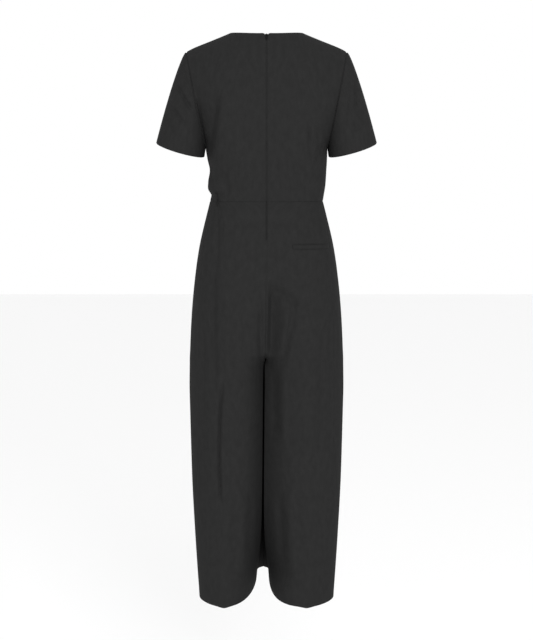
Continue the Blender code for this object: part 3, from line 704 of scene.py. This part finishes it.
def kind_of(name):
    """Kind of a piece, which is its name without its side."""
    return name.rsplit("_", 1)[0]


def fall_away(points, normals):
    """How far the falls move points of the back along Y."""
    shift = np.zeros(points.shape[:-1])
    for start_x, start_z, end_x, end_z, width, depth in FALLS:
        side = math.copysign(1.0, start_x)
        t = (points[..., 2] / MM - start_z) / (end_z - start_z)
        edge = start_x + (end_x - start_x) * np.clip(t, 0, 1)
        past = np.clip((points[..., 0] / MM - edge) * side / width, 0, 1)
        slope = np.where(past < FALL_EDGE, past ** 2 / (2 * FALL_EDGE), past - FALL_EDGE / 2)
        taper = ramp(np.minimum(t, 1 - t) / FALL_FADE)
        shift -= depth * MM * slope * taper * ramp(normals[..., 1] / FALL_FACING)
    return shift


def free_of_sleeve(name, grid):
    """1 but for a bodice's sides, where it goes to 0 on the seam to the sleeve."""
    free = np.ones(grid.shape[:2])
    sides = {"back_bodice": ("last_column",), "front": ("first_column", "last_column")}
    for edge in sides.get(kind_of(name), ()):
        free *= ramp(from_edge(grid, edge) / SEWN_STRIP)
    return free


def fold_shift(points, normals, folds, outwards):
    """How far one side's folds move points of the cloth along Y."""
    shift = np.zeros(points.shape[:-1])
    place = points[..., [0, 2]]
    facing = ramp(normals[..., 1] * outwards / FOLD_FACING)
    for start_x, start_z, end_x, end_z, bow, low_width, high_width, height in folds:
        first, last = np.array([start_x, start_z]) * MM, np.array([end_x, end_z]) * MM
        length = np.linalg.norm(last - first)
        along = (last - first) / length
        across = np.array([-along[1], along[0]]) * (-1 if along[1] > 0 else 1)
        t = (place - first) @ along / length
        held = np.clip(t, 0, 1)
        beyond = (t - held) * length
        side = (place - first) @ across - bow * MM * np.sin(math.pi * held)
        width = np.where(side < 0, low_width, high_width) * MM
        gap = (side ** 2 + beyond ** 2) / width ** 2
        taper = ramp(np.minimum(held, 1 - held) / FOLD_FADE + FOLD_LEAST)
        shift += outwards * height * MM * taper * np.exp(-gap) * facing
    return shift


def sew(grids):
    """Normals, folds and seam grooves of every cut piece, in place."""
    normals = {name: outward_normals(grid) for name, grid in grids.items()}
    lifts = share_normals(grids, normals)
    for name, grid in grids.items():
        shift = fold_shift(grid, normals[name], BACK_FOLDS, 1)
        shift += fold_shift(grid, normals[name], FRONT_FOLDS, -1)
        if not name.startswith("sleeve"):
            shift += fall_away(grid, normals[name]) * free_of_sleeve(name, grid)
        grid[..., 1] += shift
        rise = np.zeros(grid.shape[:2])
        for edge, depth, width, *run in SEAMS[kind_of(name)]:
            away = from_edge(grid, edge)
            sink = depth * MM * np.exp(-(away / (width * MM)) ** 2)
            kept = np.zeros(grid.shape[:2])
            kept[tuple(run) or ALL] = 1
            if name.startswith("trouser") and edge == "last_column":
                kept *= ramp((np.abs(grid[..., 2] - CROTCH_Z) - CLEFT_FREE) / CLEFT_FADE)
            rise -= sink * kept
        grid += lifts[name] * rise[..., None]
    return normals


ALL = slice(None)
UNDER = slice(0, len(SIDE_T) + 1)
OVER = slice(len(SIDE_T), None)
NECK = int(np.argmin(np.abs(BODICE_SHARES - NECK_SHARE)))
BY_ZIP = slice(0, int(np.argmax(TROUSER_Z < ZIP_FOOT_Z)))
# Seams of each kind of piece: the edge, how deep and wide the groove is in
# millimetres, and the rows, or rows and columns, that it runs along if not all
SEAMS = {
    "back_bodice": (("first_column", 2.0, 2.0), ("first_row", 0.6, 1.4),
                    ("last_column", 0.9, 2.0, UNDER), ("last_column", 1.6, 1.7, OVER),
                    ("last_row", 0.8, 2.0, ALL, slice(NECK, None))),
    "front": (("first_column", 0.9, 2.0, UNDER), ("last_column", 0.9, 2.0, UNDER),
              ("first_column", 1.6, 1.7, OVER), ("last_column", 1.6, 1.7, OVER),
              ("first_row", 0.8, 1.6)),
    "sleeve": (("first_row", 1.6, 1.7), ("first_column", 0.8, 2.0), ("last_column", 0.8, 2.0)),
    "trouser_back": (("first_row", 0.6, 1.4), ("first_column", 0.8, 2.0),
                     ("last_column", 1.0, 1.9), ("last_column", 1.4, 1.7, BY_ZIP)),
    "trouser_front": (("first_row", 0.8, 1.6), ("first_column", 0.8, 2.0),
                      ("last_column", 0.8, 2.0)),
}
# The middle and inner seams' grooves fade out where the legs part
CLEFT_FREE = 30 * MM
CLEFT_FADE = 100 * MM

# Layers turned to the inside of a piece: how wide they are and how much
# thickness they add, in millimetres, the columns they cover and whether that
# edge is free. Each free edge has a hem or facing, and the others an allowance.
FREE_NECK = slice(0, NECK + 1)
BOTH_NECKS = slice(len(BODICE_SHARES) - 1 - NECK, len(BODICE_SHARES) + NECK)
ALLOWANCE = (10, 0.8, ALL, False)
LAYERS = {
    "back_bodice": {"last_row": (45, 1.0, FREE_NECK, True), "first_column": (14, 0.9, ALL, False)},
    "front": {"last_row": (45, 1.0, BOTH_NECKS, True)},
    "sleeve": {"last_row": (25, 1.1, ALL, True)},
    "trouser_back": {"last_row": (30, 1.1, ALL, True)},
    "trouser_front": {"last_row": (30, 1.1, ALL, True)},
}
# How softly a layer ends, and how far and how thin a free edge is rounded
LAYER_END = 1.2 * MM
EDGE_ROUND = 1.5 * MM
EDGE_THIN = 0.96


def walls(name, grid, normal):
    """Outside and inside of a piece, with its turned layers and round free edges."""
    thick = np.full(grid.shape[:2], CLOTH)
    edge_share = np.ones(grid.shape[:2])
    for edge in ("first_row", "last_row", "first_column", "last_column"):
        width, rise, columns, free = LAYERS[kind_of(name)].get(edge, ALLOWANCE)
        away = from_edge(grid, edge)
        held = np.zeros(grid.shape[:2])
        held[:, columns] = 1
        layer = rise * MM * (1 - ramp((away - width * MM) / LAYER_END)) * held
        thick = np.maximum(thick, CLOTH + layer)
        if free:
            turn = 1 - np.minimum(away / EDGE_ROUND, 1)
            edge_share = np.where(held > 0, np.sqrt(1 - EDGE_THIN * turn ** 2), edge_share)
    middle = grid - normal * (thick / 2)[..., None]
    half = normal * (thick / 2 * edge_share)[..., None]
    return middle + half, middle - half


def cut_pieces():
    """Grids and normals of the cut pieces, by name."""
    grids = {}
    for side, word in ((1, "left"), (-1, "right")):
        grids["back_bodice_" + word] = bodice_half(1, side)
        grids["sleeve_" + word] = sleeve_grid(side)
        grids["trouser_back_" + word], grids["trouser_front_" + word] = trouser_grids(side)
    grids["front_bodice"] = np.hstack([bodice_half(-1, -1)[:, ::-1], bodice_half(-1, 1)[:, 1:]])
    for name in ("back_bodice_left", "back_bodice_right", "front_bodice"):
        tops = [grids[f"trouser_{name.split('_')[0]}_{word}"][0] for word in ("right", "left")]
        meet_waist(grids[name], np.vstack([tops[0], tops[1][::-1]]))
    return grids, sew(grids)


def shell(name, outer, inner):
    """Closed thin shell between two grids of points, with its lengths as UV."""
    rows, columns = outer.shape[:2]
    build = bmesh.new()
    bmesh.ops.create_grid(build, x_segments=columns - 1, y_segments=rows - 1, size=1.0)
    place = build.verts.layers.int.new("place")
    for vert in build.verts:
        column = round((vert.co.x + 1) / 2 * (columns - 1))
        row = round((vert.co.y + 1) / 2 * (rows - 1))
        vert[place] = row * columns + column
    raised = bmesh.ops.extrude_face_region(build, geom=build.faces[:])
    inside = {item for item in raised["geom"] if isinstance(item, bmesh.types.BMVert)}
    for vert in build.verts:
        points = inner if vert in inside else outer
        vert.co = Vector(points[divmod(vert[place], columns)])
    across = from_edge(outer, "first_column")
    down = from_edge(outer, "first_row")
    cloth_map = build.loops.layers.uv.new("cloth")
    for face in build.faces:
        for loop in face.loops:
            spot = divmod(loop.vert[place], columns)
            loop[cloth_map].uv = (across[spot], down[spot])
    bmesh.ops.recalc_face_normals(build, faces=build.faces[:])
    return piece_of(build, name)


# ---- pocket and zip

def on_back(grid, normal, x, z):
    """Point and direction of the cloth's outside at an X and Z of a back piece."""
    below = int(np.argmax(grid[:, 0, 2] < z))
    high, low = grid[below - 1, 0, 2], grid[below, 0, 2]
    t = (high - z) / (high - low)
    line = grid[below - 1] * (1 - t) + grid[below] * t
    across = normal[below - 1] * (1 - t) + normal[below] * t
    order = np.argsort(line[:, 0])
    depth = np.interp(x, line[order, 0], line[order, 1])
    out = [np.interp(x, line[order, 0], across[order, k]) for k in range(3)]
    return np.array([x, depth, z]), unit(np.array(out))


def pocket_welt(grid, normal):
    """Strip folded along the pocket's mouth and sewn down on its other edges."""
    turns, falls = shares(even(40), 0.03), shares(even(16), 0.12)
    across = WELT_X[1] - WELT_X[0]
    outer = np.zeros((len(falls), len(turns), 3))
    inner = outer.copy()
    for r, fall in enumerate(falls):
        for c, turn in enumerate(turns):
            z = WELT_TOP_Z + WELT_TILT * turn - WELT_HEIGHT * fall
            point, out = on_back(grid, normal, WELT_X[0] + across * turn, z)
            rim = min(min(turn, 1 - turn) * abs(across), min(fall, 1 - fall) * WELT_HEIGHT)
            puff = math.sqrt(1 - (1 - min(rim / WELT_ROUND, 1)) ** 2)
            proud = WELT_PROUD * (WELT_EDGE + (1 - WELT_EDGE) * puff)
            outer[r, c] = point + out * (WELT_GAP + proud)
            inner[r, c] = point - out * WELT_GAP
    return outer, inner


def zip_line(grids):
    """Y and Z of the centre back seam, from the zip's foot up to the neck."""
    low, high = grids["trouser_back_left"][:, -1], grids["back_bodice_left"][:, 0]
    line = np.vstack([low[low[:, 2] > ZIP_FOOT_Z][::-1], high[1:]])[:, 1:]
    return line, lengths(line)


def beside_zip(line, along, x, way, out):
    """Points at a way up the zip's line and a distance out from it."""
    columns = np.hstack([line, unit(np.gradient(line, axis=0))]).T
    y, z, rise_y, rise_z = (np.interp(way, along, column) for column in columns)
    return np.stack([x, y + rise_z * out, z - rise_y * out], axis=-1)


def zip_tape(line, along, side):
    """One of the two woven tapes, flat behind the seam allowance."""
    reach = side * np.array([0.0, 0.05, 0.3, 0.6, 0.95, 1.0]) * (TAPE_REACH[1] - TAPE_REACH[0])
    ways = np.linspace(0, along[-1] - TAPE_TOP, 160)
    x, way = np.meshgrid(side * TAPE_REACH[0] + reach, ways)
    return (beside_zip(line, along, x, way, -TAPE_DEPTH),
            beside_zip(line, along, x, way, -TAPE_DEPTH - TAPE_THICK))


def zip_coil(line, along, side):
    """One side's row of teeth: a coil of monofilament sewn along its tape."""
    turns, steps = 16, 10
    build = bmesh.new()
    bmesh.ops.create_circle(build, segments=6, radius=COIL_WIRE)
    bmesh.ops.rotate(build, verts=build.verts, cent=(0, 0, 0),
                     matrix=Matrix.Rotation(math.pi / 2, 3, "X"))
    # Wound 1 mm from its axis, and flattened to its real half widths below
    bmesh.ops.translate(build, verts=build.verts, vec=(1 * MM, 0, 0))
    bmesh.ops.spin(build, geom=build.verts[:] + build.edges[:], cent=(0, 0, 0), axis=(0, 0, 1),
                   dvec=(0, 0, COIL_PITCH / steps), angle=turns * math.tau, steps=turns * steps)
    block = build.verts[:] + build.edges[:] + build.faces[:]
    for repeat in range(1, int((along[-1] - COIL_ENDS) / COIL_PITCH / turns)):
        copied = bmesh.ops.duplicate(build, geom=block)["geom"]
        bmesh.ops.translate(build, vec=(0, 0, repeat * turns * COIL_PITCH),
                            verts=[item for item in copied if isinstance(item, bmesh.types.BMVert)])
    bmesh.ops.remove_doubles(build, verts=build.verts[:], dist=0.01 * MM)
    bmesh.ops.holes_fill(build, edges=build.edges[:], sides=6)
    bmesh.ops.recalc_face_normals(build, faces=build.faces[:])
    points = np.array([vert.co for vert in build.verts])
    # The two sides' teeth lie half a pitch apart, so that they mesh
    points[:, 2] += COIL_FOOT + (COIL_PITCH / 2 if side > 0 else 0)
    x = points[:, 0] / MM * COIL_HALF[0] + side * COIL_X
    out = points[:, 1] / MM * COIL_HALF[1] - COIL_DEPTH
    for vert, point in zip(build.verts, beside_zip(line, along, x, points[:, 2], out)):
        vert.co = point
    return build


def pull_tab(hinge, low, high):
    """Drop-shaped tab with rounded edges and an eye, at the solid tab's place."""
    shape = bpy.data.curves.new("tab_outline", "CURVE")
    shape.dimensions = "2D"
    shape.fill_mode = "BOTH"
    shape.extrude = TAB_FLAT
    shape.bevel_depth = TAB_ROUND
    shape.bevel_resolution = 3
    shape.offset = -TAB_ROUND
    shape.resolution_u = 6
    for half in (TAB, TAB_EYE):
        loop = half + tuple((-x, y) for x, y in half[::-1] if x > 0)
        spline = shape.splines.new("BEZIER")
        spline.bezier_points.add(len(loop) - 1)
        spline.use_cyclic_u = True
        for point, (x, y) in zip(spline.bezier_points, loop):
            point.co = (x * MM, y * MM, 0.0)
            point.handle_left_type = point.handle_right_type = "AUTO"
    flat = placed("tab_outline", shape)
    finished = flat.evaluated_get(bpy.context.evaluated_depsgraph_get())
    mesh = bpy.data.meshes.new_from_object(finished)
    bpy.data.objects.remove(flat)
    build = bmesh.new()
    build.from_mesh(mesh)
    bmesh.ops.remove_doubles(build, verts=build.verts, dist=0.005 * MM)
    bmesh.ops.recalc_face_normals(build, faces=build.faces)
    # The solid tab's height and depth in its box give its slope
    depth, height = (high[1] - low[1]) / MM, (high[2] - low[2]) / MM
    slope = math.atan2(TAB_LENGTH * depth - height, TAB_LENGTH * height - depth)
    turn = Matrix((Vector((1, 0, 0)), Vector((0, math.sin(slope), -math.cos(slope))),
                   Vector((0, math.cos(slope), math.sin(slope))))).transposed()
    bmesh.ops.transform(build, verts=build.verts,
                        matrix=Matrix.Translation(hinge) @ turn.to_4x4())
    return build


def placed(name, data):
    """Object of a mesh, curve, lamp or camera, in the scene."""
    made = bpy.data.objects.new(name, data)
    bpy.context.scene.collection.objects.link(made)
    return made


def mesh_of(build, name):
    """Mesh of a finished bmesh."""
    mesh = bpy.data.meshes.new(name)
    build.to_mesh(mesh)
    build.free()
    return mesh


def piece_of(build, name, angle=50):
    """Object of a bmesh, smooth but for its sharp edges."""
    mesh = mesh_of(build, name)
    mesh.shade_smooth()
    mesh.set_sharp_from_angle(angle=math.radians(angle))
    return placed(name, mesh)


# ---- materials

def linear(code):
    """Linear colour of an sRGB hex value."""
    parts = [int(code[k:k + 2], 16) / 255 for k in (1, 3, 5)]
    return tuple(p / 12.92 if p <= 0.04045 else ((p + 0.055) / 1.055) ** 2.4
                 for p in parts) + (1.0,)


def join(tree, made, **links):
    """Link a node's sockets by name, and hand it back."""
    for key, source in links.items():
        tree.links.new(source, made.inputs[key.replace("_", " ")])
    return made


def node(tree, kind, settings=None, **links):
    """Add a node, set its attributes and sockets, and link it."""
    made = tree.nodes.new("ShaderNode" + kind)
    for key, value in (settings or {}).items():
        if isinstance(key, int) or key in made.inputs:
            made.inputs[key].default_value = value
        else:
            setattr(made, key, value)
    return join(tree, made, **links)


def plain(name, **settings):
    """New material, its tree and its shader, with some of its sockets set."""
    made = bpy.data.materials.new(name)
    made.use_nodes = True
    shader = made.node_tree.nodes["Principled BSDF"]
    for key, value in settings.items():
        shader.inputs[key.replace("_", " ")].default_value = value
    return made, made.node_tree, shader


def crepe():
    """Polyester crepe, dyed black: matt, with a fine pebbled face."""
    made, tree, shader = plain(
        "polyester_crepe", Roughness=0.88, Specular_IOR_Level=0.06, Sheen_Weight=0.01,
        Sheen_Roughness=0.5, Sheen_Tint=linear("#8A8A8C"))
    spot = node(tree, "TexCoord").outputs["UV"]
    # Cloudy depth of the dye, in patches of 12 mm drawn out along the warp
    stretched = node(tree, "Mapping", {"Scale": (1.0, 0.5, 1.0)}, Vector=spot)
    cloud = node(tree, "TexNoise", {"Scale": 85.0, "Detail": 5.0, "Roughness": 0.65},
                 Vector=stretched.outputs["Vector"])
    tones = {"data_type": "RGBA", 6: linear("#1C1C1C"), 7: linear("#282828")}
    shade = node(tree, "Mix", tones, Factor=cloud.outputs["Fac"])
    # Pebbled face of the twisted yarns, about 1 mm, drawn at twice that
    pebble = node(tree, "TexNoise", {"Scale": 500.0, "Detail": 2.0}, Vector=spot)
    bump = node(tree, "Bump", {"Strength": 0.25, "Distance": 0.6 * MM},
                Height=pebble.outputs["Fac"])
    join(tree, shader, Base_Color=shade.outputs[2], Normal=bump.outputs["Normal"])
    return made


def woven_tape():
    """Woven polyester tape, dyed black: flat and matt, with fine herringbone ribs."""
    made, tree, shader = plain("woven_polyester_tape", Roughness=0.75, Specular_IOR_Level=0.25)
    spot = node(tree, "TexCoord").outputs["UV"]
    # Ribs 0.8 mm apart that lean one way and then the other, 4 mm to a band
    split = node(tree, "SeparateXYZ", Vector=spot)
    band = node(tree, "Math", {"operation": "PINGPONG", 1: 2 * MM}, Value=split.outputs["X"])
    lean = node(tree, "Math", {"operation": "ADD"}, Value=band.outputs[0])
    tree.links.new(split.outputs["Y"], lean.inputs[1])
    rib = node(tree, "Math", {"operation": "PINGPONG", 1: 0.4 * MM}, Value=lean.outputs[0])
    tone = node(tree, "MapRange", {"From Max": 0.4 * MM}, Value=rib.outputs[0])
    tones = {"data_type": "RGBA", 6: linear("#161617"), 7: linear("#232324")}
    shade = node(tree, "Mix", tones, Factor=tone.outputs["Result"])
    bump = node(tree, "Bump", {"Strength": 0.5, "Distance": 0.3 * MM},
                Height=tone.outputs["Result"])
    join(tree, shader, Base_Color=shade.outputs[2], Normal=bump.outputs["Normal"])
    return made


def monofilament():
    """Extruded polyester wire, dyed black: smooth, with a soft gloss."""
    made, tree, shader = plain("polyester_monofilament", Base_Color=linear("#151516"), IOR=1.58)
    # Drawing the wire leaves its gloss a little uneven, every 3 mm or so
    spot = node(tree, "TexCoord").outputs["Object"]
    uneven = node(tree, "TexNoise", {"Scale": 330.0, "Detail": 2.0}, Vector=spot)
    gloss = node(tree, "MapRange", {"To Min": 0.3, "To Max": 0.5}, Value=uneven.outputs["Fac"])
    join(tree, shader, Roughness=gloss.outputs["Result"])
    return made


def enamelled_zinc():
    """Die-cast zinc with baked black enamel: soft gloss, a faint orange peel."""
    made, tree, shader = plain("enamelled_zinc", Specular_IOR_Level=0.1)
    spot = node(tree, "TexCoord").outputs["Object"]
    # Handling dulls the enamel in patches of about 2 mm
    worn = node(tree, "TexNoise", {"Scale": 500.0, "Detail": 3.0}, Vector=spot)
    dulled = {"From Min": 0.35, "From Max": 0.65, "To Min": 0.32, "To Max": 0.5}
    gloss = node(tree, "MapRange", dulled, Value=worn.outputs["Fac"])
    tones = {"data_type": "RGBA", 6: linear("#070708"), 7: linear("#0F0F10")}
    shade = node(tree, "Mix", tones, Factor=worn.outputs["Fac"])
    # Orange peel of the baked enamel, every 0.6 mm
    peel = node(tree, "TexNoise", {"Scale": 1600.0, "Detail": 1.0}, Vector=spot)
    bump = node(tree, "Bump", {"Strength": 0.1, "Distance": 0.1 * MM}, Height=peel.outputs["Fac"])
    join(tree, shader, Base_Color=shade.outputs[2], Roughness=gloss.outputs["Result"],
         Normal=bump.outputs["Normal"])
    return made


# ---- build

grids, normals = cut_pieces()
cloth = crepe()


def dress(piece, body, node_name, finish):
    """Give a finished piece its body and its finish, and hide the solid it stands for."""
    piece.data.materials.append(finish)
    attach(piece, body)
    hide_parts(node_name)


right_back = "trouser_back_right"
welt = shell("pocket_welt_strip", *pocket_welt(grids[right_back], normals[right_back]))
dress(welt, "garment", "pocket_welt", cloth)
for name, grid in grids.items():
    piece = shell(name + "_cloth", *walls(name, grid, normals[name]))
    dress(piece, "garment", name, cloth)

tape, wire, enamel = woven_tape(), monofilament(), enamelled_zinc()
line, along = zip_line(grids)
for side, word in ((1, "left"), (-1, "right")):
    strip = shell("zip_tape_" + word, *zip_tape(line, along, side))
    coil = piece_of(zip_coil(line, along, side), "zip_coil_" + word)
    dress(strip, "garment", "zip_tape", tape)
    dress(coil, "garment", "zip_tape", wire)

slider = frame["nodes"]["zip_slider"]
slider.data.materials.clear()
slider.data.materials.append(enamel)
hinge_place = Vector(frame["joints"][0]["pos_m"])
tab = piece_of(pull_tab(hinge_place, *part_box("zip_pull_tab")), "zip_pull_drop", 40)
dress(tab, "zip_pull", "zip_pull_tab", enamel)

# ---- stage

FLOOR_Z = HEM_Z - 0.45
# Lamps: name, place, what each looks at, size in metres and power in watts
LAMPS = (("key", (-0.8, 3.7, 0.4), (0.0, 0.0, -0.7), 1.6, 70.0),
         ("fill", (1.4, 3.3, -0.9), (0.0, 0.0, -0.7), 2.0, 16.0))
CAMERA = ("camera", (0.0, 2.80, -0.3355), (0.0, 0.0, -0.6755))
LENS_MM = 65.83


def aimed(name, place, target, data):
    """Lamp or camera at a place, turned to look at a target."""
    made = placed(name, data)
    aim = (Vector(target) - Vector(place)).to_track_quat("-Z", "Y")
    made.matrix_world = Matrix.Translation(place) @ aim.to_matrix().to_4x4()
    return made


def stage():
    """Plain pale floor, soft studio light and the camera."""
    bpy.context.scene.view_settings.view_transform = "Standard"
    build = bmesh.new()
    bmesh.ops.create_grid(build, x_segments=1, y_segments=1, size=12.0)
    bmesh.ops.translate(build, vec=(0, 0, FLOOR_Z), verts=build.verts)
    floor = placed("studio_floor", mesh_of(build, "studio_floor"))
    # Seamless paper, matt and nearly white
    paper = plain("studio_paper", Base_Color=linear("#F7F7F7"), Roughness=0.9)
    floor.data.materials.append(paper[0])
    world = bpy.data.worlds.new("studio")
    bpy.context.scene.world = world
    world.use_nodes = True
    sky = world.node_tree.nodes["Background"]
    sky.inputs["Color"].default_value = (1.0, 1.0, 1.0, 1.0)
    sky.inputs["Strength"].default_value = 1.0
    for name, place, target, size, power in LAMPS:
        lamp = bpy.data.lights.new(name, "AREA")
        lamp.size = size
        lamp.energy = power
        aimed(name, place, target, lamp)
    lens = bpy.data.cameras.new("camera")
    lens.lens = LENS_MM
    lens.sensor_width = 36.0
    bpy.context.scene.camera = aimed(*CAMERA, lens)


stage()
bpy.context.view_layer.update()
